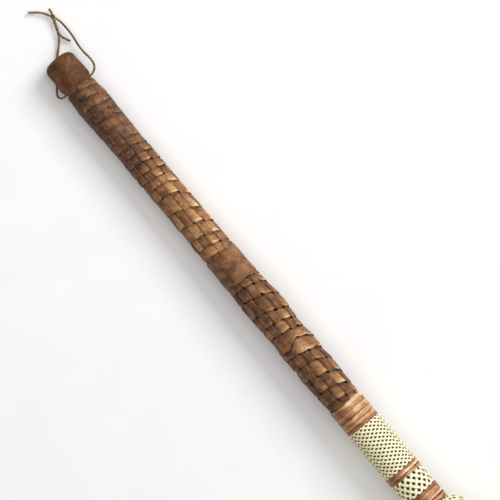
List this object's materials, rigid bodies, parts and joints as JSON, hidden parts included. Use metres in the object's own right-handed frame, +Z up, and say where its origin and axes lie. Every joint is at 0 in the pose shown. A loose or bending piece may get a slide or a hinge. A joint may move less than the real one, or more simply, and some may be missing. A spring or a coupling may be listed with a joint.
{
  "type": "plaited dance wand",
  "caption": "Straight hand wand covered in plaited bark strips and straw, with a round plaited head and a knotted hanging cord through the butt.",
  "frame": {"origin": "below the middle of the wand's length, at the height of the lowest facet of the ball head, with the wand lying level", "axes": "+X along the wand from the butt to the ball head, +Z up, +Y across the wand along the cord hole"},
  "size_m": [0.4918, 0.0472, 0.0472],
  "materials": {
    "dark_wood": "dull dark brown wood",
    "bark_cap": "smooth brown bark, faint sheen",
    "bark_stake": "matte brown bark strip with fine lengthwise grain",
    "bark_weaver": "matte tan-brown bark strip with fine grain along the strip",
    "cane": "satin reddish-tan split cane",
    "straw": "satin pale cream straw plait",
    "twine": "matte natural twisted twine"
  },
  "bodies": {
    "wand": {"core_stick": "dark_wood", "butt_cap": "bark_cap", "stake_1": "bark_stake", "stake_2": "bark_stake", "stake_3": "bark_stake", "stake_4": "bark_stake", "stake_5": "bark_stake", "stake_6": "bark_stake", "stake_7": "bark_stake", "stake_8": "bark_stake", "stake_9": "bark_stake", "stake_10": "bark_stake", "stake_11": "bark_stake", "weaver_1": "bark_weaver", "weaver_2": "bark_weaver", "weaver_3": "bark_weaver", "weaver_4": "bark_weaver", "weaver_5": "bark_weaver", "grip_binding": "cane", "fine_collar": "straw", "middle_binding": "cane", "coarse_collar": "straw", "neck_binding": "cane", "head_plait": "straw"},
    "hang_loop": {"right_cord": "twine", "left_cord": "twine", "hitch_turns": "twine", "loop_knot": "twine", "hitch_knot": "twine", "long_tail": "twine", "short_tail": "twine", "hitch_tail": "twine"}
  },
  "joints": [
    {"name": "hang_loop_swing", "type": "hinge", "parent": "wand", "child": "hang_loop", "pos_m": [-0.20191, 0, 0.0237], "axis": [0, -1, 0], "range_deg": [0, 90]}
  ]
}
